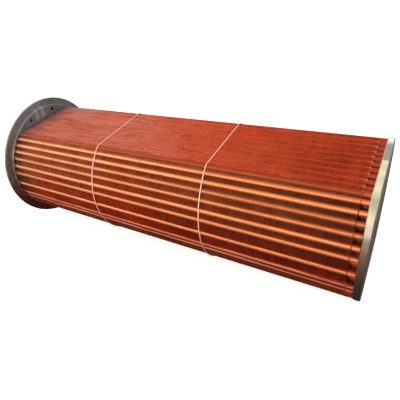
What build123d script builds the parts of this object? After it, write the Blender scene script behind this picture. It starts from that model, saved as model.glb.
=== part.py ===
from build123d import *
import os
from math import sqrt, hypot, sin, cos, radians, atan2

# ---------------------------------------------------------------------------
# Air aftercooler core: a removable bundle of copper tubes in a pack of copper
# fin plates, rolled into a flanged fixed tube sheet and a floating tube sheet.
# Millimetres.  +X runs along the bundle from the fixed to the floating end,
# +Z is up.  The origin is on the bundle's axis, in the flat gasket face of the
# fixed tube sheet's flange.
# ---------------------------------------------------------------------------

# fixed tube sheet
flange_r = 205.0            # outside radius of the clamped flange
flange_t = 8.0              # flange thickness, behind the gasket face
boss_r = 182.0              # raised boss that enters the shell
boss_h = 6.0
boss_hole_r = 4.25          # two plain holes in the boss, above the fins
boss_hole_depth = 10.0
boss_hole_y = 48.0
boss_hole_z = 160.5

# floating tube sheet: a circle cut off flat at the top and the bottom
float_r = 182.0
float_flat = 146.0          # height of the flats above and below the axis
float_x = 1023.0            # face on the bundle side
float_t = 14.0
float_chamfer = 1.5

# fin pack
fin_r = 178.0
fin_flat = 144.3
fin_x0 = 18.0
fin_x1 = 1007.0

# tubes
tube_r = 6.35               # 12.7 mm outside diameter
tube_bore_r = 5.45          # 0.9 mm wall
tube_recess = 0.4           # tube ends lie just inside both outer faces
pitch = 22.225              # triangular pitch
row_rise = pitch * sqrt(3.0) / 2.0
min_gap = 18.0              # least distance from a regular tube to an edge tube

# tie wires
wire_r = 1.25
wire_lie = ((349.0, -0.038, -0.012), (682.0, -0.034, 0.006))   # x at the axis, and its lean along y and z
wire_arc_r = 181.35         # centre line of the wire round the curved sides
wire_flat = 145.8           # centre line of the wire across the flats
wire_corner_r = 7.7

os.makedirs("parts", exist_ok=True)

# ---------------------------------------------------------------------------
# Tube positions in the section (y, z).  The rows are horizontal and staggered.
# The end tube of a row is drawn out to the edge of the pack, where the fin
# plates are cut open along it; row 1 above and below the axis has none there.
# ---------------------------------------------------------------------------
def polar(radius, angle):
    return (radius * cos(radians(angle)), radius * sin(radians(angle)))

edge_tube = {
    7: [polar(173.5, 47.4), (105.2, 137.3)],
    6: [polar(173.5, 40.5)],
    5: [polar(173.2, 33.7)],
    4: [polar(173.2, 26.4)],
    3: [polar(173.5, 18.3)],
    2: [polar(173.5, 10.4)],
    1: [],
    0: [polar(173.5, -1.6)],
    -1: [],
    -2: [polar(173.5, -14.6)],
    -3: [polar(173.5, -20.6)],
    -4: [polar(173.2, -26.9)],
    -5: [polar(173.2, -34.3)],
    -6: [polar(173.5, -40.7)],
    -7: [polar(173.5, -47.4), (105.2, -137.3)],
}
top_row_z = 137.3

def all_edge_tubes():
    return [(sy * y, z) for pts in edge_tube.values() for (y, z) in pts for sy in (1, -1)]

edge_all = all_edge_tubes()

def row_tubes(k):
    """Tube centres of row k, counted from the axis row 0, up and down to 7."""
    sz = 1 if k >= 0 else -1
    a = abs(k)
    z = sz * (top_row_z if a == 7 else a * row_rise)
    phase = 0.0 if a % 2 else 0.5
    pts = []
    for j in range(-9, 9):
        y = (j + phase) * pitch
        near = min(hypot(y - ey, z - ez) for (ey, ez) in edge_all)
        limit = 16.0 if a == 7 else min_gap
        if near >= limit and hypot(y, z) < 166.0:
            pts.append((round(y, 4), round(z, 4)))
    for (ey, ez) in edge_tube[k]:
        for sy in (1, -1):
            pts.append((sy * ey, ez))
    return sorted(pts)

rows = {k: row_tubes(k) for k in range(7, -8, -1)}
tubes_all = [p for k in rows for p in rows[k]]
print("tubes", len(tubes_all), {k: len(v) for k, v in rows.items()})
worst = min(hypot(a[0] - b[0], a[1] - b[1]) for i, a in enumerate(tubes_all) for b in tubes_all[i + 1:])
print("closest pair of tubes, centre to centre", round(worst, 2))

# ---------------------------------------------------------------------------
# Fixed tube sheet: turned disc with boss, drilled for every tube.
# ---------------------------------------------------------------------------
with BuildPart() as fixed_tubesheet:
    with BuildSketch(Plane.XZ):
        with BuildLine():
            Polyline(
                (-flange_t, 0), (-flange_t, flange_r - 1.0), (-flange_t + 1.0, flange_r),
                (-1.0, flange_r), (0, flange_r - 1.0), (0, boss_r),
                (boss_h - 1.0, boss_r), (boss_h, boss_r - 1.0), (boss_h, 0), close=True)
        make_face()
    revolve(axis=Axis.X)
    with BuildSketch(Plane.YZ.offset(-flange_t)):
        with Locations(*tubes_all):
            Circle(tube_r)
    extrude(amount=flange_t + boss_h, mode=Mode.SUBTRACT)
    with BuildSketch(Plane.YZ.offset(boss_h)):
        with Locations((-boss_hole_y, boss_hole_z), (boss_hole_y, boss_hole_z)):
            Circle(boss_hole_r)
    extrude(amount=-boss_hole_depth, mode=Mode.SUBTRACT)
fixed_tubesheet.part.label = "fixed_tubesheet"
export_step(fixed_tubesheet.part, "parts/fixed_tubesheet.step")

# ---------------------------------------------------------------------------
# Floating tube sheet: plate with two flats and chamfered rims.
# ---------------------------------------------------------------------------
with BuildPart() as floating_tubesheet:
    with BuildSketch(Plane.YZ.offset(float_x)):
        Circle(float_r)
        Rectangle(2 * float_r + 10, 2 * float_flat, mode=Mode.INTERSECT)
    extrude(amount=float_t)
    ends = floating_tubesheet.edges().filter_by_position(Axis.X, float_x - 0.01, float_x + 0.01) \
        + floating_tubesheet.edges().filter_by_position(Axis.X, float_x + float_t - 0.01, float_x + float_t + 0.01)
    chamfer(ends, length=float_chamfer)
    with BuildSketch(Plane.YZ.offset(float_x)):
        with Locations(*tubes_all):
            Circle(tube_r)
    extrude(amount=float_t, mode=Mode.SUBTRACT)
floating_tubesheet.part.label = "floating_tubesheet"
export_step(floating_tubesheet.part, "parts/floating_tubesheet.step")

# ---------------------------------------------------------------------------
# Fin pack: the stack of plates as one block, with its tube holes.  The holes
# of the edge tubes break through the outline.
# ---------------------------------------------------------------------------
with BuildPart() as fin_pack:
    with BuildSketch(Plane.YZ.offset(fin_x0)):
        Circle(fin_r)
        Rectangle(2 * fin_r + 10, 2 * fin_flat, mode=Mode.INTERSECT)
        with Locations(*tubes_all):
            Circle(tube_r, mode=Mode.SUBTRACT)
    extrude(amount=fin_x1 - fin_x0)
fin_pack.part.label = "fin_pack"
export_step(fin_pack.part, "parts/fin_pack.step")

# ---------------------------------------------------------------------------
# Tubes, one node for each horizontal row, numbered from the top.
# ---------------------------------------------------------------------------
tube_x0 = -flange_t + tube_recess
tube_len = float_x + float_t - tube_recess - tube_x0
for n, k in enumerate(range(7, -8, -1), start=1):
    with BuildPart() as tube_row:
        with BuildSketch(Plane.YZ.offset(tube_x0)):
            with Locations(*rows[k]):
                Circle(tube_r)
                Circle(tube_bore_r, mode=Mode.SUBTRACT)
        extrude(amount=tube_len)
    tube_row.part.label = f"tubes_row_{n:02d}"
    export_step(tube_row.part, f"parts/tubes_row_{n:02d}.step")

# ---------------------------------------------------------------------------
# Tie wires: closed loops drawn tight round the pack, bent round its corners.
# Each lies in a plane that leans a little, as tied by hand.
# ---------------------------------------------------------------------------
cz = wire_flat - wire_corner_r
cy = sqrt((wire_arc_r - wire_corner_r) ** 2 - cz ** 2)
phi = atan2(cz, cy)
ty, tz = wire_arc_r * cos(phi), wire_arc_r * sin(phi)
mid = (radians(90.0) + phi) / 2.0
my, mz = cy + wire_corner_r * cos(mid), cz + wire_corner_r * sin(mid)

for name, (wx, lean_y, lean_z) in zip(("tie_wire_flange_end", "tie_wire_middle"), wire_lie):
    lie = Plane(origin=(wx, 0, 0), x_dir=(lean_y, 1, 0), z_dir=(1, -lean_y, -lean_z))
    with BuildPart() as tie_wire:
        with BuildLine(lie) as loop:
            Line((0, wire_flat), (cy, wire_flat))
            ThreePointArc((cy, wire_flat), (my, mz), (ty, tz))
            ThreePointArc((ty, tz), (wire_arc_r, 0), (ty, -tz))
            ThreePointArc((ty, -tz), (my, -mz), (cy, -wire_flat))
            Line((cy, -wire_flat), (-cy, -wire_flat))
            ThreePointArc((-cy, -wire_flat), (-my, -mz), (-ty, -tz))
            ThreePointArc((-ty, -tz), (-wire_arc_r, 0), (-ty, tz))
            ThreePointArc((-ty, tz), (-my, mz), (-cy, wire_flat))
            Line((-cy, wire_flat), (0, wire_flat))
        start = lie.from_local_coords((0, wire_flat, 0))
        with BuildSketch(Plane(origin=start, x_dir=lie.z_dir, z_dir=lie.x_dir)):
            Circle(wire_r)
        sweep()
    tie_wire.part.label = name
    export_step(tie_wire.part, f"parts/{name}.step")
    print(name, "volume", round(tie_wire.part.volume, 1),
          "section times length", round(3.14159265 * wire_r ** 2 * loop.wires()[0].length, 1))
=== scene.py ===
import math
import random
import bpy
import bmesh
import numpy as np
from mathutils import Matrix, Vector


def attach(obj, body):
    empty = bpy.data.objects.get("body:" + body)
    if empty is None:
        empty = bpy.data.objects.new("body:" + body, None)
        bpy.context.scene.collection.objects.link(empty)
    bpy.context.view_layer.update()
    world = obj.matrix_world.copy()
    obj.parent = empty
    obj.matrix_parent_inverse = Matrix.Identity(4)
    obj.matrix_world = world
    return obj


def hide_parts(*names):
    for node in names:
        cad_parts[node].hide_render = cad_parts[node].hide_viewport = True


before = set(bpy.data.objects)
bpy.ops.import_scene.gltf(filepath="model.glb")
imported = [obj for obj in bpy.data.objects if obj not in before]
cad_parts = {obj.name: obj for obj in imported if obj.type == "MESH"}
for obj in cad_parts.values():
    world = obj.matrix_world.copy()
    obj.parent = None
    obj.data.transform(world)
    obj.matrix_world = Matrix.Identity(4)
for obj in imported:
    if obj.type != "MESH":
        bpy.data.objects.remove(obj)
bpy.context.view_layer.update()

rng = np.random.default_rng(20731)
scene = bpy.context.scene

# ---------------------------------------------------------------------------
# sizes, in metres: the same numbers as the CAD
# ---------------------------------------------------------------------------
FIN_R, FIN_FLAT = 0.1780, 0.1440
FIN_X0, FIN_X1 = 0.018, 1.007
FIN_T, FIN_PITCH = 0.00032, 0.0030
FLOAT_X, FLOAT_T = 1.023, 0.014
WIRE_R, WIRE_ARC_R = 0.00125, 0.18135


# ---------------------------------------------------------------------------
# node helpers
# ---------------------------------------------------------------------------
class Mat:
    """A node material under construction."""

    def __init__(self, name):
        self.m = bpy.data.materials.new(name)
        self.m.use_nodes = True
        self.t = self.m.node_tree
        self.t.nodes.clear()
        self.out = self.t.nodes.new("ShaderNodeOutputMaterial")
        self.p = self.t.nodes.new("ShaderNodeBsdfPrincipled")
        self.t.links.new(self.p.outputs[0], self.out.inputs[0])
        self.co = self.t.nodes.new("ShaderNodeTexCoord").outputs["Object"]

    def set(self, **kw):
        for k, v in kw.items():
            self.p.inputs[k.replace("_", " ")].default_value = v

    def link(self, a, b):
        self.t.links.new(a, b)

    def mapping(self, scale=(1, 1, 1), loc=(0, 0, 0), rot=(0, 0, 0)):
        n = self.t.nodes.new("ShaderNodeMapping")
        n.inputs["Scale"].default_value = scale
        n.inputs["Location"].default_value = loc
        n.inputs["Rotation"].default_value = rot
        self.link(self.co, n.inputs[0])
        return n.outputs[0]

    def noise(self, scale, detail=3.0, rough=0.5, vec=None, distortion=0.0):
        n = self.t.nodes.new("ShaderNodeTexNoise")
        n.inputs["Scale"].default_value = scale
        n.inputs["Detail"].default_value = detail
        n.inputs["Roughness"].default_value = rough
        n.inputs["Distortion"].default_value = distortion
        self.link(vec if vec is not None else self.co, n.inputs["Vector"])
        return n.outputs["Fac"]

    def ramp(self, fac, stops):
        n = self.t.nodes.new("ShaderNodeValToRGB")
        r = n.color_ramp
        while len(r.elements) > 1:
            r.elements.remove(r.elements[-1])
        for i, (pos, col) in enumerate(stops):
            e = r.elements[0] if i == 0 else r.elements.new(pos)
            e.position = pos
            e.color = tuple(col) + ((1.0,) if len(col) == 3 else ())
        self.link(fac, n.inputs[0])
        return n.outputs[0]

    def mix(self, fac, a, b, mode="MIX"):
        n = self.t.nodes.new("ShaderNodeMix")
        n.data_type = "RGBA"
        n.blend_type = mode
        for sock, v in ((n.inputs[0], fac), (n.inputs[6], a), (n.inputs[7], b)):
            if isinstance(v, (int, float)):
                sock.default_value = v
            elif isinstance(v, (tuple, list)):
                sock.default_value = tuple(v) + ((1.0,) if len(v) == 3 else ())
            else:
                self.link(v, sock)
        return n.outputs[2]

    def math(self, op, a, b=None, c=None, clamp=False):
        n = self.t.nodes.new("ShaderNodeMath")
        n.operation = op
        n.use_clamp = clamp
        for i, v in enumerate((a, b, c)):
            if v is None:
                continue
            if isinstance(v, (int, float)):
                n.inputs[i].default_value = v
            else:
                self.link(v, n.inputs[i])
        return n.outputs[0]

    def remap(self, v, a, b, c, d):
        n = self.t.nodes.new("ShaderNodeMapRange")
        for i, x in enumerate((a, b, c, d), start=1):
            n.inputs[i].default_value = x
        self.link(v, n.inputs[0])
        return n.outputs[0]

    def xyz(self, vec=None):
        n = self.t.nodes.new("ShaderNodeSeparateXYZ")
        self.link(vec if vec is not None else self.co, n.inputs[0])
        return n.outputs

    def normal(self):
        return self.xyz(self.t.nodes.new("ShaderNodeNewGeometry").outputs["Normal"])

    def attr(self, name):
        n = self.t.nodes.new("ShaderNodeAttribute")
        n.attribute_name = name
        return n.outputs["Fac"]

    def bump(self, height, strength=0.3, distance=0.001):
        n = self.t.nodes.new("ShaderNodeBump")
        n.inputs["Strength"].default_value = strength
        n.inputs["Distance"].default_value = distance
        self.link(height, n.inputs["Height"])
        self.link(n.outputs[0], self.p.inputs["Normal"])


# ---------------------------------------------------------------------------
# materials
# ---------------------------------------------------------------------------
def make_fin_copper():
    k = Mat("fin_copper")
    x, y, z = k.xyz()
    blotch = k.noise(7.0, 4.0, 0.55)
    streak = k.noise(1.0, 4.0, 0.6, k.mapping(scale=(5.0, 45.0, 45.0)))
    dash = k.noise(1.0, 3.0, 0.65, k.mapping(scale=(13.0, 130.0, 60.0), loc=(3.1, 0.7, 5.2)))
    comb = k.noise(1.0, 2.0, 0.5, k.mapping(scale=(180.0, 14.0, 14.0), loc=(0.3, 2.2, 7.4)))
    fine = k.noise(260.0, 3.0, 0.6)
    place = k.math("ADD", x, k.remap(blotch, 0.3, 0.7, -0.10, 0.10))
    # flats: lighter pink towards the flange, a painted sheen, deep red towards the floating end
    flat = k.ramp(place, [(0.10, (0.85, 0.225, 0.148)), (0.42, (0.95, 0.228, 0.155)), (0.58, (0.89, 0.142, 0.068)),
                          (0.72, (0.84, 0.092, 0.028)), (1.0, (0.70, 0.058, 0.016))])
    light = k.ramp(place, [(0.20, (0.94, 0.320, 0.220)), (0.55, (0.94, 0.240, 0.130)), (1.0, (0.90, 0.130, 0.045))])
    deep = k.ramp(place, [(0.20, (0.52, 0.105, 0.060)), (0.55, (0.50, 0.070, 0.030)), (1.0, (0.42, 0.038, 0.014))])
    flat = k.mix(k.remap(streak, 0.55, 0.75, 0.0, 0.50), flat, light)
    flat = k.mix(k.remap(streak, 0.45, 0.28, 0.0, 0.60), flat, deep)
    flat = k.mix(k.remap(dash, 0.54, 0.70, 0.0, 0.60), flat, light)
    flat = k.mix(k.remap(dash, 0.47, 0.33, 0.0, 0.70), flat, deep)
    # wider handling marks on the half next to the flange
    broad = k.noise(1.0, 3.0, 0.6, k.mapping(scale=(10.0, 62.0, 62.0), loc=(5.3, 1.9, 2.6)))
    half = k.remap(place, 0.58, 0.36, 0.0, 1.0)
    flat = k.mix(k.math("MULTIPLY", half, k.remap(broad, 0.53, 0.66, 0.0, 0.55)), flat, (0.97, 0.370, 0.270))
    flat = k.mix(k.math("MULTIPLY", half, k.remap(broad, 0.46, 0.34, 0.0, 0.50)), flat, (0.58, 0.150, 0.085))
    # curved sides: golden brown above, deep red below, near-black at the bottom: painted shade on the underside
    upper = k.ramp(place, [(0.15, (0.98, 0.330, 0.110)), (0.45, (0.86, 0.185, 0.052)), (0.75, (0.74, 0.200, 0.070)), (1.0, (0.62, 0.175, 0.062))])
    lower = k.ramp(place, [(0.15, (0.96, 0.082, 0.024)), (0.45, (0.98, 0.086, 0.030)), (0.70, (0.76, 0.060, 0.026)), (1.0, (1.0, 0.140, 0.080))])
    height = k.math("ADD", z, k.remap(streak, 0.3, 0.7, -0.03, 0.03))
    curve = k.mix(k.remap(height, 0.100, -0.060, 0.0, 1.0), upper, lower)
    # painted shade: the bottom of the sides darkened to near-black
    curve = k.mix(k.remap(height, -0.052, -0.082, 0.0, 1.0), curve, k.mix(k.remap(x, 0.1, 0.7, 0.0, 1.0), (0.44, 0.028, 0.007), (0.24, 0.009, 0.002)))
    curve = k.mix(k.remap(dash, 0.54, 0.72, 0.0, 0.40), curve, k.mix(k.remap(z, -0.080, -0.040, 0.0, 1.0), (0.46, 0.060, 0.020), (0.90, 0.260, 0.100)))
    curve = k.mix(k.remap(dash, 0.46, 0.30, 0.0, 0.50), curve, (0.40, 0.060, 0.022))
    # painted shadow below each tube stripe
    curve = k.mix(k.attr("painted_shade"), curve, (0.20, 0.022, 0.010))
    level = k.math("ABSOLUTE", z)
    up = k.remap(level, 0.1400, 0.1435, 0.0, 1.0)
    # the rounded edge along the flats: painted shade on top, painted light just above the first tube
    below = k.math("MULTIPLY", k.remap(level, 0.1310, 0.1335, 0.0, 0.65), k.remap(level, 0.1378, 0.1362, 0.0, 1.0))
    curve = k.mix(k.math("MULTIPLY", below, k.remap(z, 0.0, 0.1, 0.0, 1.0)), curve, (1.0, 0.350, 0.165))
    col = k.mix(up, curve, flat)
    # painted shade on the rounded edge where it faces up
    over = k.math("MULTIPLY", k.remap(level, 0.1362, 0.1380, 0.0, 0.80), k.remap(k.math("ABSOLUTE", y), 0.0985, 0.1020, 0.0, 1.0))
    col = k.mix(k.remap(fine, 0.40, 0.64, 0.0, 0.70), col, (0.58, 0.54, 0.52), "MULTIPLY")
    hatch = k.math("MULTIPLY", k.remap(comb, 0.52, 0.68, 0.0, 1.0), k.remap(up, 0.0, 1.0, 0.60, 0.15))
    col = k.mix(hatch, col, (0.52, 0.48, 0.46), "MULTIPLY")
    # painted highlight along the ridge crests and the rounded corner
    painted_glint = k.attr("painted_glint")
    col = k.mix(painted_glint, col, k.mix(k.remap(x, 0.45, 0.75, 0.0, 1.0), (0.95, 0.270, 0.120), (1.0, 0.200, 0.075)))
    # painted highlight at the end of each ridge
    tip = k.math("MULTIPLY", k.remap(x, 0.9985, 1.0015, 0.0, 1.0), k.remap(painted_glint, 0.30, 0.55, 0.0, 0.9))
    col = k.mix(tip, col, (0.99, 0.440, 0.220))
    col = k.mix(over, col, (0.72, 0.62, 0.60), "MULTIPLY")
    # pale dust on the far edge of the flat, near the flange
    far = k.math("MULTIPLY", k.remap(k.math("ADD", y, k.remap(streak, 0.3, 0.7, -0.02, 0.02)), 0.060, 0.100, 0.0, 0.60), k.math("MULTIPLY", k.remap(place, 0.170, 0.060, 0.0, 1.0), up))
    col = k.mix(far, col, (0.70, 0.350, 0.310))
    # grime and painted shade next to the fixed tube sheet
    start = k.math("ADD", x, k.remap(streak, 0.3, 0.7, -0.014, 0.014))
    col = k.mix(k.remap(start, 0.012, 0.095, 0.85, 0.0), col, k.mix(up, (0.150, 0.060, 0.040), (0.190, 0.088, 0.090)))
    k.link(col, k.p.inputs["Base Color"])
    k.set(Metallic=0.45, Specular_IOR_Level=0.08, Specular_Tint=(1.0, 0.42, 0.26, 1.0))
    k.link(k.remap(fine, 0.3, 0.7, 0.42, 0.60), k.p.inputs["Roughness"])
    k.bump(fine, 0.15, 0.0004)
    return k.m


def make_tube_copper():
    k = Mat("tube_copper")
    x, y, z = k.xyz()
    r = k.math("SQRT", k.math("ADD", k.math("MULTIPLY", y, y), k.math("MULTIPLY", z, z)))
    wob = k.remap(k.noise(1.0, 3.0, 0.6, k.mapping(scale=(9.0, 40.0, 40.0))), 0.3, 0.7, -0.0007, 0.0007)
    proud = k.math("ADD", r, wob)                      # rubbed bright where it stands proud of the fins, only a thin line low down
    out = k.mix(k.remap(z, -0.040, -0.022, 0.0, 1.0), k.remap(proud, 0.1778, 0.1787, 0.0, 1.0), k.remap(proud, 0.1768, 0.1782, 0.0, 1.0))
    side = k.remap(k.math("ABSOLUTE", z), 0.1310, 0.1380, 1.0, 0.12)
    # painted shade: the bright copper fades out on the tubes low down
    low = k.mix(k.remap(x, 0.1, 0.9, 0.0, 1.0), (0.92, 0.92, 0.92), (1.0, 1.0, 1.0))
    low = k.math("MAXIMUM", k.math("MULTIPLY", low, k.remap(z, -0.078, -0.068, 0.16, 1.0)), k.remap(z, -0.036, -0.016, 0.0, 1.0))
    # upward-facing side of each tube painted darker, a painted shade, so the outermost line is the brightest
    nx, ny, nz = k.normal()
    out_part = k.math("DIVIDE", k.math("ADD", k.math("MULTIPLY", ny, y), k.math("MULTIPLY", nz, z)), r)
    up_part = k.math("DIVIDE", k.math("SUBTRACT", k.math("MULTIPLY", nz, r), k.math("MULTIPLY", z, out_part)), k.math("MAXIMUM", k.math("ABSOLUTE", y), 0.02))
    painted_top_shade = k.remap(up_part, 0.05, 0.62, 0.0, 1.0)
    # the edge tubes are not all rubbed alike: height of each, how dulled it is at the flange end and at the floating end
    turn = k.math("ARCTAN2", z, k.math("ABSOLUTE", y))
    worn = None
    for deg, first, last in ((33.7, 0.03, 0.60), (26.4, 0.28, 0.38), (10.4, 0.18, 0.08)):
        d = k.math("ABSOLUTE", k.math("SUBTRACT", turn, math.radians(deg)))
        w = k.math("MULTIPLY", k.remap(d, 0.030, 0.045, 1.0, 0.0), k.remap(x, 0.15, 0.85, first, last))
        worn = w if worn is None else k.math("MAXIMUM", worn, w)
    wide = None
    for deg in (47.4, 40.5, 18.3, -1.6):
        d = k.math("ABSOLUTE", k.math("SUBTRACT", turn, math.radians(deg)))
        w = k.remap(d, 0.030, 0.045, 1.0, 0.0)
        wide = w if wide is None else k.math("MAXIMUM", wide, w)
    begin = k.remap(x, 0.015, 0.021, 0.0, 1.0)
    polish = k.math("MULTIPLY", k.math("MULTIPLY", k.math("MULTIPLY", out, side), low), begin)
    long = k.mapping(scale=(2.2, 60.0, 60.0))
    streak = k.noise(1.0, 4.0, 0.6, long)
    blotch = k.noise(14.0, 4.0, 0.6)
    spot = k.noise(220.0, 3.0, 0.7)
    place = k.math("ADD", x, k.remap(blotch, 0.3, 0.7, -0.15, 0.15))
    bright = k.ramp(place, [(0.05, (1.0, 0.520, 0.330)), (0.40, (0.96, 0.400, 0.195)), (0.75, (0.86, 0.290, 0.105)), (1.0, (0.80, 0.255, 0.100))])
    bright = k.mix(k.remap(streak, 0.48, 0.74, 0.0, 0.60), bright, (0.62, 0.150, 0.055))
    short = k.noise(1.0, 3.0, 0.6, k.mapping(scale=(26.0, 60.0, 60.0), loc=(1.0, 4.0, 2.0)))
    bright = k.mix(k.remap(short, 0.52, 0.72, 0.0, 0.45), bright, (0.60, 0.150, 0.060))
    bright = k.mix(k.remap(spot, 0.60, 0.75, 0.0, 0.35), bright, (0.50, 0.130, 0.060))
    painted_top_shade = k.math("MULTIPLY", painted_top_shade, k.remap(z, -0.040, -0.022, 0.0, 1.0))
    bright = k.mix(k.math("MULTIPLY", painted_top_shade, k.remap(wide, 0.0, 1.0, 0.66, 0.34)), bright, (0.46, 0.120, 0.045))
    bright = k.mix(worn, bright, (0.34, 0.090, 0.036))
    # painted light: the thin bright lines low down made lighter and paler
    bright = k.mix(k.remap(z, -0.030, -0.045, 0.0, 0.7), bright, (0.92, 0.300, 0.180))
    dull = k.ramp(blotch, [(0.30, (0.26, 0.036, 0.014)), (0.70, (0.38, 0.060, 0.025))])
    flat_row = k.remap(z, 0.1300, 0.1340, 0.0, 1.0)
    # painted shade: the hidden copper low down near-black
    dull = k.mix(k.remap(z, -0.030, -0.060, 0.0, 0.95), dull, (0.120, 0.004, 0.001))
    deep = k.remap(r, 0.1650, 0.1675, 1.0, 0.0)        # tubes behind the outermost ones, seen only in the gaps at both sheets
    # in the gap at the floating sheet the tubes are painted lighter, the deeper ones most, and the top row's lower
    # front too: painted light in the shade there; low down they are painted darker, painted shade
    gap = k.mix(k.remap(z, -0.022, -0.034, 0.0, 1.0), (0.340, 0.085, 0.040), (0.190, 0.018, 0.007))
    gap = k.mix(deep, gap, (0.95, 0.260, 0.130))
    # in the gap at the fixed sheet the tubes are painted lighter too: painted light in the shade there
    dull = k.mix(k.remap(x, 0.0165, 0.022, 1.0, 0.0), dull, k.mix(flat_row, k.mix(deep, (0.330, 0.120, 0.062), (0.80, 0.300, 0.170)), (0.220, 0.100, 0.092)))
    dull = k.mix(k.remap(x, 1.0085, 1.0130, 0.0, 1.0), dull, k.mix(flat_row, gap, k.mix(k.remap(z, 0.1380, 0.1425, 0.0, 1.0), (0.52, 0.084, 0.042), (0.42, 0.062, 0.032))))
    col = k.mix(polish, dull, bright)
    # rolled and faced ends in both outer faces
    ends = k.math("MULTIPLY", k.remap(k.math("ABSOLUTE", nx), 0.60, 0.80, 0.0, 1.0), k.remap(k.math("ABSOLUTE", k.math("SUBTRACT", x, 0.5145)), 0.5180, 0.5200, 0.0, 1.0))
    col = k.mix(ends, col, k.mix(k.remap(spot, 0.40, 0.65, 0.0, 1.0), (0.80, 0.330, 0.170), (0.52, 0.190, 0.090)))
    k.link(col, k.p.inputs["Base Color"])
    k.set(Specular_IOR_Level=0.08, Specular_Tint=(1.0, 0.50, 0.32, 1.0))
    k.link(k.remap(polish, 0.0, 1.0, 0.35, 0.60), k.p.inputs["Metallic"])
    rough = k.math("ADD", k.remap(streak, 0.3, 0.7, 0.36, 0.52), k.remap(polish, 0.0, 1.0, 0.15, 0.0))
    k.link(rough, k.p.inputs["Roughness"])
    k.bump(k.noise(90.0, 2.0, 0.5), 0.08, 0.0006)
    return k.m


def make_dark_steel():
    k = Mat("dark_steel")
    x, y, z = k.xyz()
    r = k.math("SQRT", k.math("ADD", k.math("MULTIPLY", y, y), k.math("MULTIPLY", z, z)))
    blotch = k.noise(11.0, 5.0, 0.6, distortion=0.4)
    patch = k.noise(34.0, 4.0, 0.6, distortion=0.8)
    fine = k.noise(120.0, 4.0, 0.65)
    col = k.ramp(blotch, [(0.30, (0.215, 0.190, 0.205)), (0.50, (0.31, 0.298, 0.315)), (0.72, (0.41, 0.400, 0.420))])
    olive = k.mix(k.remap(patch, 0.40, 0.62, 0.0, 1.0), (0.15, 0.118, 0.085), (0.27, 0.250, 0.180))
    col = k.mix(k.remap(y, -0.085, -0.165, 0.0, 0.85), col, olive)
    low = k.remap(k.math("ADD", z, k.remap(patch, 0.3, 0.7, -0.03, 0.03)), 0.048, -0.065, 0.0, 1.0)
    front = k.remap(x, -0.0030, -0.0015, 0.0, 1.0)
    col = k.mix(k.math("MULTIPLY", low, front), col, (0.205, 0.034, 0.034))
    col = k.mix(k.remap(fine, 0.55, 0.75, 0.0, 0.30), col, (0.36, 0.32, 0.30))
    spots = k.noise(75.0, 3.0, 0.7, distortion=0.5)
    col = k.mix(k.remap(spots, 0.56, 0.72, 0.0, 0.35), col, (0.46, 0.43, 0.38))
    col = k.mix(k.remap(spots, 0.42, 0.30, 0.0, 0.40), col, (0.10, 0.075, 0.070))
    # two pale streaks down the face between the small holes, painted reflections, and a painted highlight along the
    # edge of the boss
    reach = k.math("MULTIPLY", k.remap(z, 0.146, 0.156, 0.0, 1.0), k.remap(z, 0.190, 0.181, 0.25, 1.0))
    for at, wide, strong in ((-0.0185, 0.0105, 0.70), (0.0065, 0.0100, 0.85)):
        d = k.math("ABSOLUTE", k.math("SUBTRACT", k.math("ADD", y, k.remap(patch, 0.3, 0.7, -0.0015, 0.0015)), at))
        m = k.math("MULTIPLY", k.remap(d, 0.0015, wide, strong, 0.0), k.math("MULTIPLY", reach, front))
        col = k.mix(m, col, (0.62, 0.59, 0.60))
    # painted highlight along the boss step, strongest on its upper half
    edge = k.math("ABSOLUTE", k.math("SUBTRACT", r, 0.1815))
    edge = k.math("MULTIPLY", k.remap(edge, 0.0008, 0.0022, 0.62, 0.0), k.math("MULTIPLY", k.remap(z, -0.060, 0.060, 0.0, 1.0), front))
    edge = k.math("MULTIPLY", edge, k.remap(patch, 0.35, 0.60, 0.45, 1.0))
    col = k.mix(edge, col, (0.52, 0.50, 0.46))
    # painted shade round the tubes, where the fin pack comes close
    gap = k.math("MAXIMUM", k.math("SUBTRACT", k.math("ABSOLUTE", z), 0.1440), k.math("SUBTRACT", r, 0.1780))
    gap = k.math("ADD", gap, k.remap(patch, 0.3, 0.7, -0.003, 0.003))
    shade = k.math("MULTIPLY", k.remap(gap, -0.001, 0.007, 1.0, 0.0), k.remap(x, 0.0035, 0.0050, 0.0, 1.0))
    strong = k.mix(k.remap(z, 0.1340, 0.1380, 0.0, 1.0), (0.60, 0.60, 0.60), (0.34, 0.34, 0.34))
    col = k.mix(k.math("MULTIPLY", shade, strong), col, k.mix(k.remap(z, 0.1340, 0.1380, 0.0, 1.0), (0.085, 0.042, 0.030), (0.120, 0.044, 0.046)))
    # painted shade in and round the two small holes, darker in the one at +Y
    hole = k.math("POWER", k.math("SUBTRACT", k.math("ABSOLUTE", y), 0.048), 2.0)
    hole = k.math("SQRT", k.math("ADD", hole, k.math("POWER", k.math("SUBTRACT", z, 0.1605), 2.0)))
    col = k.mix(k.math("MULTIPLY", k.remap(hole, 0.0044, 0.0060, 0.94, 0.0), front), col, k.mix(k.remap(y, -0.02, 0.02, 0.0, 1.0), (0.060, 0.048, 0.055), (0.012, 0.008, 0.011)))
    k.link(col, k.p.inputs["Base Color"])
    k.set(Metallic=0.5, Specular_IOR_Level=0.35)
    k.link(k.remap(fine, 0.3, 0.7, 0.38, 0.58), k.p.inputs["Roughness"])
    k.bump(fine, 0.12, 0.0005)
    return k.m


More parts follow.
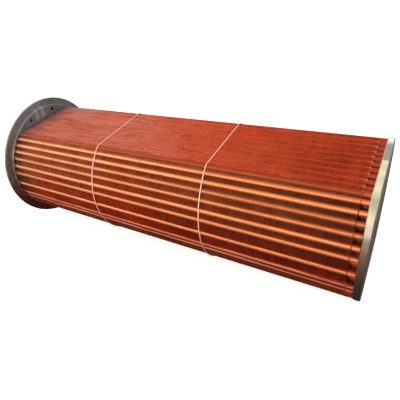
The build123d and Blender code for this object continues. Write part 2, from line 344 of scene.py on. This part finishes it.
def make_machined_steel():
    k = Mat("machined_steel")
    x, y, z = k.xyz()
    blotch = k.noise(26.0, 4.0, 0.6, distortion=0.6)
    fine = k.noise(300.0, 3.0, 0.6)
    lines = k.noise(1.0, 2.0, 0.5, k.mapping(scale=(900.0, 30.0, 30.0)))
    face = k.ramp(blotch, [(0.34, (0.50, 0.49, 0.45)), (0.66, (0.66, 0.65, 0.60))])
    face = k.mix(k.remap(z, 0.080, -0.06, 0.0, 1.0), face, (0.30, 0.245, 0.225))
    face = k.mix(k.remap(k.math("SUBTRACT", y, k.math("ABSOLUTE", k.math("SUBTRACT", z, 0.146))), 0.070, 0.100, 0.0, 0.85), face, (0.09, 0.095, 0.10))
    # the turned rim: bright and slightly yellow on the flat, a painted white reflection towards one end, browner down
    # the side, where the light and dark bands are painted reflections and the bottom is painted shade
    near = k.ramp(blotch, [(0.34, (0.70, 0.67, 0.44)), (0.50, (0.82, 0.79, 0.51)), (0.66, (0.90, 0.87, 0.57))])
    wob = k.remap(blotch, 0.3, 0.7, -0.004, 0.004)
    plain = k.ramp(blotch, [(0.34, (0.30, 0.30, 0.29)), (0.66, (0.42, 0.42, 0.41))])
    # painted white reflection on the far end of the flat, then dark at the very edge
    plain = k.mix(k.remap(k.math("ADD", y, wob), 0.078, 0.098, 0.0, 1.0), plain, (0.98, 1.0, 1.0))
    plain = k.mix(k.remap(y, 0.1060, 0.1072, 0.0, 0.9), plain, (0.10, 0.11, 0.12))
    top = k.mix(k.remap(k.math("ADD", y, k.remap(blotch, 0.3, 0.7, -0.002, 0.002)), 0.008, 0.015, 0.0, 1.0), near, plain)
    # a painted dark line across the flat, part of the reflection
    painted_dark_line = k.math("SUBTRACT", 1.0, k.remap(k.math("ABSOLUTE", k.math("SUBTRACT", y, 0.0120)), 0.0010, 0.0050, 0.0, 1.0))
    top = k.mix(k.math("MULTIPLY", painted_dark_line, 0.55), top, (0.26, 0.25, 0.23))
    lo_z, hi_z = -0.10, 0.15
    # down the side: painted reflections in light and dark bands, painted shade at the bottom
    stops = [(-0.10, (0.22, 0.190, 0.170)), (-0.03, (0.26, 0.215, 0.185)), (0.006, (0.54, 0.270, 0.230)), (0.036, (0.50, 0.300, 0.220)),
             (0.062, (0.28, 0.180, 0.135)), (0.073, (0.14, 0.115, 0.095)), (0.080, (0.16, 0.140, 0.120)), (0.086, (0.28, 0.240, 0.190)),
             (0.100, (0.31, 0.270, 0.200)), (0.120, (0.52, 0.470, 0.320)), (0.145, (0.66, 0.620, 0.400))]
    tall = k.math("ADD", z, k.remap(blotch, 0.3, 0.7, -0.002, 0.002))
    side = k.ramp(k.remap(tall, lo_z, hi_z, 0.0, 1.0), [((h - lo_z) / (hi_z - lo_z), c) for h, c in stops])
    side = k.mix(k.remap(fine, 0.5, 0.7, 0.0, 0.25), side, (0.30, 0.27, 0.22))
    rim = k.mix(k.remap(z, 0.1370, 0.1440, 0.0, 1.0), side, top)
    warm = k.math("MULTIPLY", k.remap(x, 1.0243, 1.0250, 1.0, 0.0), k.remap(z, 0.085, 0.105, 0.0, 0.85))
    rim = k.mix(warm, rim, (1.0, 0.82, 0.74))            # painted reflection of the copper behind it on the inner chamfer
    col = k.mix(k.remap(x, 1.0352, 1.0362, 0.0, 1.0), rim, face)
    k.link(col, k.p.inputs["Base Color"])
    k.set(Metallic=0.9)
    k.link(k.remap(fine, 0.3, 0.7, 0.28, 0.42), k.p.inputs["Roughness"])
    k.bump(lines, 0.10, 0.0003)
    return k.m


def make_wire():
    k = Mat("tie_wire")
    n = k.noise(180.0, 3.0, 0.6)
    col = k.ramp(n, [(0.3, (0.92, 0.58, 0.46)), (0.6, (1.0, 0.74, 0.62))])
    x, y, z = k.xyz()
    col = k.mix(k.remap(z, 0.1425, 0.1445, 0.0, 0.8), col, (1.0, 0.58, 0.44))
    col = k.mix(k.remap(z, 0.040, -0.090, 0.0, 0.92), col, (0.50, 0.160, 0.100))
    k.link(col, k.p.inputs["Base Color"])
    # a faint orange glow: painted light that brightens the thin wire
    k.set(Metallic=0.1, Emission_Color=(1.0, 0.30, 0.18, 1.0), Emission_Strength=0.16)
    k.link(k.remap(n, 0.3, 0.7, 0.28, 0.42), k.p.inputs["Roughness"])
    k.bump(n, 0.1, 0.0002)
    return k.m


def make_floor(name, glow):
    k = Mat(name)
    n = k.noise(1.6, 4.0, 0.5)
    col = k.ramp(n, [(0.3, (0.87, 0.87, 0.87)), (0.7, (0.90, 0.90, 0.90))])
    k.link(col, k.p.inputs["Base Color"])
    k.set(Roughness=0.85)
    k.set(Emission_Color=(1.0, 1.0, 1.0, 1.0), Emission_Strength=glow)
    return k.m


M_FIN = make_fin_copper()
M_TUBE = make_tube_copper()
M_DARK = make_dark_steel()
M_RIM = make_machined_steel()
M_WIRE = make_wire()
M_FLOOR = make_floor("studio_floor", 0.58)
M_WALL = make_floor("studio_wall", 1.0)


def put(obj, mat):
    if not obj.data.materials:
        obj.data.materials.append(mat)
    for i in range(len(obj.material_slots)):
        obj.material_slots[i].material = mat


for name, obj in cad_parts.items():
    if name.startswith("tubes_row"):
        put(obj, M_TUBE)
    elif name == "fixed_tubesheet":
        put(obj, M_DARK)
    elif name == "floating_tubesheet":
        put(obj, M_RIM)
    elif name.startswith("tie_wire"):
        put(obj, M_WIRE)


# ---------------------------------------------------------------------------
# fin plates: every plate of the pack, each a thin closed plate
# ---------------------------------------------------------------------------
RIDGE_Y = [0.022225 * j for j in range(-4, 5)]
CORNER = (0.1052, 0.1373)
RIDGE = 0.00045


def outline():
    """Points of a fin plate's edge, counter-clockwise seen from +X: y, z, how strong a painted highlight each gets, how
    far it is bent over.
    """
    cy, cz = CORNER
    rc = 0.0067
    quarter = []                                     # from +Y, z = 0, up to the rounded corner round the corner tube
    a_end = math.asin((cz - 0.0045) / FIN_R)
    for i in range(29):
        t = a_end * i / 28
        quarter.append((FIN_R * math.cos(t), FIN_R * math.sin(t), 0.0, 0.0))
    for t, painted_glint, bent in ((20, 0.05, 0.2), (42, 0.15, 0.5), (62, 0.15, 0.8), (84, 0.1, 1.0)):
        t = math.radians(t)
        quarter.append((cy + rc * math.cos(t), cz + rc * math.sin(t), painted_glint, bent))
    flat = []
    for y in sorted(RIDGE_Y, reverse=True):
        for dy, up, painted_glint in ((0.0055, 0.0, 0.0), (0.0022, 0.35, 0.1), (0.0010, 0.9, 0.65), (-0.0004, 1.0, 0.75), (-0.0020, 0.4, 0.1)):
            flat.append((y + dy, FIN_FLAT + RIDGE * up, painted_glint, 1.0))
    left = [(-p[0],) + p[1:] for p in reversed(quarter)]
    top = quarter + flat + left                      # +Y round over the top to -Y
    bottom = [(p[0], -p[1], p[2] * 0.3, p[3]) for p in reversed(top[1:-1])]
    return np.array(top + bottom)


def smooth_field(nx, nu, kx, ku):
    """Smooth random field of nx by nu, periodic in u, about -1 to 1."""
    f = rng.normal(size=(nx, nu))
    F = np.fft.fft2(f)
    fx = np.fft.fftfreq(nx)[:, None] * nx
    fu = np.fft.fftfreq(nu)[None, :] * nu
    F *= np.exp(-((fx / kx) ** 2 + (fu / ku) ** 2))
    g = np.real(np.fft.ifft2(F))
    return g / (np.abs(g).max() + 1e-9)


def build_fins():
    full = outline()
    ring, painted_glint, bent = full[:, :2], full[:, 2], full[:, 3]
    theta = np.degrees(np.arctan2(ring[:, 1], np.abs(ring[:, 0])))
    # painted shadow just below each exposed tube, a faint painted shade on the rounded corner
    painted_shade = np.zeros(len(ring))
    for stripe in (47.4, 40.5, 33.7, 26.4, 18.3, 10.4, -1.6, -14.6, -20.6, -26.9, -34.3, -40.7):
        below = stripe - 1.2 - theta                    # degrees below the lower edge of the stripe
        painted_shade = np.maximum(painted_shade, np.where(below > 0, np.clip(1.0 - below / 2.4, 0, 1), 0.0))
    painted_shade = np.where(np.abs(ring[:, 1]) > 0.1330, 0.0, painted_shade * 0.62)
    painted_shade = np.where((np.abs(ring[:, 1]) > 0.1330) & (np.abs(ring[:, 1]) < 0.1436), 0.06, painted_shade)
    n = len(ring)
    inner = ring * (1.0 - 0.0015 / np.linalg.norm(ring, axis=1)[:, None])
    count = int(round((FIN_X1 - FIN_X0 - FIN_T) / FIN_PITCH)) + 1
    xs = np.linspace(FIN_X0 + FIN_T / 2, FIN_X1 - FIN_T / 2, count)
    loose = smooth_field(count, n, 26.0, 9.0) * 0.00050 + smooth_field(count, n, 90.0, 30.0) * 0.00030
    lean = loose - bent[None, :] * (0.0021 + rng.normal(0, 0.00012, (count, 1)) + smooth_field(count, n, 120.0, 60.0) * 0.0005)
    jitter = rng.normal(0, 0.00008, count)
    lean[0] = np.clip(lean[0], 0, None)
    parts = 4
    for part in range(parts):
        lo, hi = part * count // parts, (part + 1) * count // parts
        verts, faces, edge, shade = [], [], [], []
        for c in range(lo, hi):
            base = len(verts)
            x = xs[c] + (0 if c in (0, count - 1) else jitter[c])
            for side in (-1, 1):
                for j in range(n):                     # bent outer ring
                    verts.append((min(max(x + side * FIN_T / 2 + lean[c, j], FIN_X0), FIN_X1), ring[j, 0], ring[j, 1]))
                    edge.append(painted_glint[j])
                    shade.append(painted_shade[j])
                for j in range(n):
                    verts.append((x + side * FIN_T / 2, inner[j, 0], inner[j, 1]))
                    edge.append(0.0)
                    shade.append(painted_shade[j])
            A, B, C, D = base, base + n, base + 2 * n, base + 3 * n   # back outer, back inner, front outer, front inner
            for j in range(n):
                k = (j + 1) % n
                faces.append((A + j, A + k, C + k, C + j))           # rim of the plate
                faces.append((C + j, C + k, D + k, D + j))           # front band
                faces.append((A + k, A + j, B + j, B + k))           # back band
            faces.append(tuple(D + j for j in range(n)))
            faces.append(tuple(B + j for j in range(n - 1, -1, -1)))
        me = bpy.data.meshes.new(f"fins_{part + 1}")
        me.from_pydata(verts, [], faces)
        me.validate()
        me.attributes.new("painted_glint", "FLOAT", "POINT").data.foreach_set("value", np.array(edge, np.float32))
        me.attributes.new("painted_shade", "FLOAT", "POINT").data.foreach_set("value", np.array(shade, np.float32))
        ob = bpy.data.objects.new(f"fins_{part + 1}", me)
        scene.collection.objects.link(ob)
        me.materials.append(M_FIN)
        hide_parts("fin_pack")
        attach(ob, "root")


build_fins()


# ---------------------------------------------------------------------------
# drawn collars of the last fin plate, one round every tube
# ---------------------------------------------------------------------------
def polar(radius, angle):
    return (radius * math.cos(math.radians(angle)), radius * math.sin(math.radians(angle)))


def tube_centres():
    edge = {7: [polar(0.1735, 47.4), CORNER], 6: [polar(0.1735, 40.5)], 5: [polar(0.1732, 33.7)], 4: [polar(0.1732, 26.4)],
            3: [polar(0.1735, 18.3)], 2: [polar(0.1735, 10.4)], 1: [], 0: [polar(0.1735, -1.6)], -1: [],
            -2: [polar(0.1735, -14.6)], -3: [polar(0.1735, -20.6)], -4: [polar(0.1732, -26.9)], -5: [polar(0.1732, -34.3)],
            -6: [polar(0.1735, -40.7)], -7: [polar(0.1735, -47.4), (CORNER[0], -CORNER[1])]}
    sides = [(s * y, z) for pts in edge.values() for (y, z) in pts for s in (1, -1)]
    pitch, found = 0.022225, []
    for row in range(-7, 8):
        z = math.copysign(0.1373, row) if abs(row) == 7 else row * pitch * math.sqrt(3.0) / 2.0
        phase = 0.0 if row % 2 else 0.5
        for j in range(-9, 9):
            y = (j + phase) * pitch
            near = min(math.hypot(y - a, z - b) for a, b in sides)
            if near >= (0.016 if abs(row) == 7 else 0.018) and math.hypot(y, z) < 0.166:
                found.append((y, z))
    return sorted(set(found) | set(sides))


def build_collars():
    profile = ((FIN_X1 - 0.0001, 0.00636), (FIN_X1 - 0.0001, 0.00700), (FIN_X1 + 0.0005, 0.00676), (FIN_X1 + 0.0022, 0.00666), (FIN_X1 + 0.0022, 0.00636))
    seg, verts, faces = 20, [], []
    for y, z in tube_centres():
        base = len(verts)
        turn = rng.uniform(0, 2 * math.pi)
        for px, pr in profile:
            for i in range(seg):
                t = 2 * math.pi * i / seg
                tip = 0.00025 * math.sin(2 * t + turn) + 0.00012 * math.sin(5 * t - turn) if px > FIN_X1 + 0.002 else 0.0
                verts.append((px + tip, y + pr * math.cos(t), z + pr * math.sin(t)))
        for a in range(len(profile)):
            b = (a + 1) % len(profile)
            for i in range(seg):
                k = (i + 1) % seg
                faces.append((base + a * seg + i, base + a * seg + k, base + b * seg + k, base + b * seg + i))
    me = bpy.data.meshes.new("collars")
    me.from_pydata(verts, [], faces)
    me.validate()
    crown = np.array([0.46 if v[2] > 0.1434 else 0.0 for v in verts], np.float32)    # the top row's get a painted highlight on top
    me.attributes.new("painted_glint", "FLOAT", "POINT").data.foreach_set("value", crown)
    # painted shade on the collars, more low down
    me.attributes.new("painted_shade", "FLOAT", "POINT").data.foreach_set("value", np.array([0.0 if v[2] > 0.1434 else 0.15 if v[2] > 0.128 else 0.55 for v in verts], np.float32))
    ob = bpy.data.objects.new("collars", me)
    scene.collection.objects.link(ob)
    me.materials.append(M_FIN)
    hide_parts("fin_pack")
    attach(ob, "root")


build_collars()


# ---------------------------------------------------------------------------
# twisted ends of the tie wires, laid down along a tube low on the back
# ---------------------------------------------------------------------------
def tube_mesh(paths, radius, seg=12):
    """Closed round bars along lists of points."""
    verts, faces = [], []
    for pts in paths:
        pts = [Vector(p) for p in pts]
        base, n = len(verts), len(pts)
        ref = Vector((0.0, 0.0, 1.0))
        for i, p in enumerate(pts):
            d = (pts[min(i + 1, n - 1)] - pts[max(i - 1, 0)]).normalized()
            side = (ref - d * ref.dot(d)).normalized()
            other = d.cross(side)
            ref = side
            rr = radius * (0.55 if i in (0, n - 1) else 1.0)
            for j in range(seg):
                t = 2 * math.pi * j / seg
                verts.append(p + side * (rr * math.cos(t)) + other * (rr * math.sin(t)))
        for i in range(n - 1):
            for j in range(seg):
                k = (j + 1) % seg
                faces.append((base + i * seg + j, base + i * seg + k, base + (i + 1) * seg + k, base + (i + 1) * seg + j))
        faces.append(tuple(base + j for j in range(seg - 1, -1, -1)))
        faces.append(tuple(base + (n - 1) * seg + j for j in range(seg)))
    return verts, faces


def build_twist(name, wire_x, lean_y, lean_z, angle, way):
    y0, z0 = polar(WIRE_ARC_R, angle)
    x0 = wire_x + lean_y * y0 + lean_z * z0
    radial = Vector((0.0, math.cos(math.radians(angle)), math.sin(math.radians(angle))))
    round_ = Vector((0.0, -math.sin(math.radians(angle)), math.cos(math.radians(angle))))
    paths = []
    for phase in (0.0, math.pi):
        pts = []
        for i in range(61):
            u = i / 60
            rise = 0.0012 * min(1.0, u * 4)             # climbs off the loop, then lies on the tube
            t = phase + u * 2 * math.pi * 3.2
            spread = 0.00125 * (1.0 + 0.5 * max(0.0, u - 0.85) / 0.15)
            c = Vector((x0 + way * 0.021 * u, 0.0, 0.0)) + radial * (WIRE_ARC_R + rise) + round_ * (0.0016 * math.sin(2.2 * u))
            pts.append(c + radial * (spread * math.cos(t)) + round_ * (spread * math.sin(t)))
        paths.append(pts)
    verts, faces = tube_mesh(paths, 0.00115)
    me = bpy.data.meshes.new(name)
    me.from_pydata([tuple(v) for v in verts], [], faces)
    me.validate()
    ob = bpy.data.objects.new(name, me)
    scene.collection.objects.link(ob)
    me.materials.append(M_WIRE)
    for f in me.polygons:
        f.use_smooth = True
    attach(ob, "root")


build_twist("twist_flange_end", 0.349, -0.038, -0.012, -20.6, 1)
build_twist("twist_middle", 0.682, -0.034, 0.006, -26.9, 1)

# ---------------------------------------------------------------------------
# floor: a pale plane that touches the flange and the floating plate
# ---------------------------------------------------------------------------
slope = (0.205 - 0.146) / (1.0355 + 0.001)
bm = bmesh.new()
bmesh.ops.create_grid(bm, x_segments=2, y_segments=2, size=40.0)
me = bpy.data.meshes.new("floor")
bm.to_mesh(me); bm.free()
floor = bpy.data.objects.new("floor", me)
scene.collection.objects.link(floor)
me.materials.append(M_FLOOR)
floor.rotation_euler = (0, -math.atan(slope), 0)
floor.location = (-0.001, 0, -0.2051)
floor.visible_diffuse = False                        # the object sees the darker surroundings below, not the pale floor
floor.visible_glossy = False

bm = bmesh.new()                                     # pale wall all round, far off, seen only in low views
bmesh.ops.create_cone(bm, cap_ends=False, segments=96, radius1=14.0, radius2=14.0, depth=14.0)
me = bpy.data.meshes.new("backdrop")
bm.to_mesh(me); bm.free()
wall = bpy.data.objects.new("backdrop", me)
scene.collection.objects.link(wall)
me.materials.append(M_WALL)
wall.location = (0, 0, 3.0)
wall.visible_diffuse = wall.visible_glossy = wall.visible_shadow = False

# ---------------------------------------------------------------------------
# light
# ---------------------------------------------------------------------------
world = bpy.data.worlds.new("studio")
scene.world = world
world.use_nodes = True
wt = world.node_tree
bg = wt.nodes["Background"]
direction = wt.nodes.new("ShaderNodeTexCoord").outputs["Generated"]
sep = wt.nodes.new("ShaderNodeSeparateXYZ")
wt.links.new(direction, sep.inputs[0])
height = wt.nodes.new("ShaderNodeMapRange")
height.inputs[1].default_value, height.inputs[2].default_value = -1.0, 1.0
wt.links.new(sep.outputs[2], height.inputs[0])
sky = wt.nodes.new("ShaderNodeValToRGB")
while len(sky.color_ramp.elements) > 1:
    sky.color_ramp.elements.remove(sky.color_ramp.elements[-1])
for i, (h, c) in enumerate([(-1.0, (0.030, 0.026, 0.024)), (-0.02, (0.050, 0.042, 0.036)), (0.10, (0.95, 0.93, 0.90)),
                            (0.28, (1.0, 0.97, 0.92)), (0.60, (0.70, 0.69, 0.68)), (1.0, (0.62, 0.62, 0.63))]):
    e = sky.color_ramp.elements[0] if i == 0 else sky.color_ramp.elements.new((h + 1) / 2)
    e.position = (h + 1) / 2
    e.color = c + (1.0,)
wt.links.new(height.outputs[0], sky.inputs[0])
side = wt.nodes.new("ShaderNodeMapRange")
for i, v in enumerate((-0.8, 0.9, 1.05, 0.85), start=1):
    side.inputs[i].default_value = v
wt.links.new(sep.outputs[1], side.inputs[0])
wt.links.new(sky.outputs[0], bg.inputs[0])
wt.links.new(side.outputs[0], bg.inputs[1])


def area(name, loc, target, size, power, color=(1, 1, 1)):
    l = bpy.data.lights.new(name, "AREA")
    l.shape = "RECTANGLE"
    l.size, l.size_y = size
    l.energy = power
    l.color = color
    o = bpy.data.objects.new(name, l)
    scene.collection.objects.link(o)
    o.location = loc
    d = Vector(target) - Vector(loc)
    o.rotation_euler = d.to_track_quat("-Z", "Y").to_euler()
    return o


area("key", (0.2, -2.5, 1.05), (0.5, 0, 0), (4.2, 1.9), 60.0, (1.0, 0.94, 0.86))
area("far_card", (1.0, 2.5, 1.65), (1.0, 0, 0.15), (1.6, 1.0), 2.6, (1.0, 0.98, 0.90))

# ---------------------------------------------------------------------------
# camera
# ---------------------------------------------------------------------------
rows = ((0.82997, 0.531292, -0.169937), (0.180933, -0.544595, -0.81895), (-0.527648, 0.648957, -0.548126))
cam = bpy.data.cameras.new("camera")
cam.sensor_fit = "HORIZONTAL"
cam.sensor_width = 36.0
cam.lens = 33.4825
cam.shift_x, cam.shift_y = 0.1, -0.0375
cam.clip_start, cam.clip_end = 0.02, 60.0
co = bpy.data.objects.new("camera", cam)
scene.collection.objects.link(co)
m = Matrix.Identity(4)
for i in range(3):
    m[i][0], m[i][1], m[i][2] = rows[0][i], -rows[1][i], -rows[2][i]
    m[i][3] = (1.05681, -0.7428, 0.59188)[i]
co.matrix_world = m
scene.camera = co

scene.view_settings.view_transform = "Standard"
scene.view_settings.look = "None"
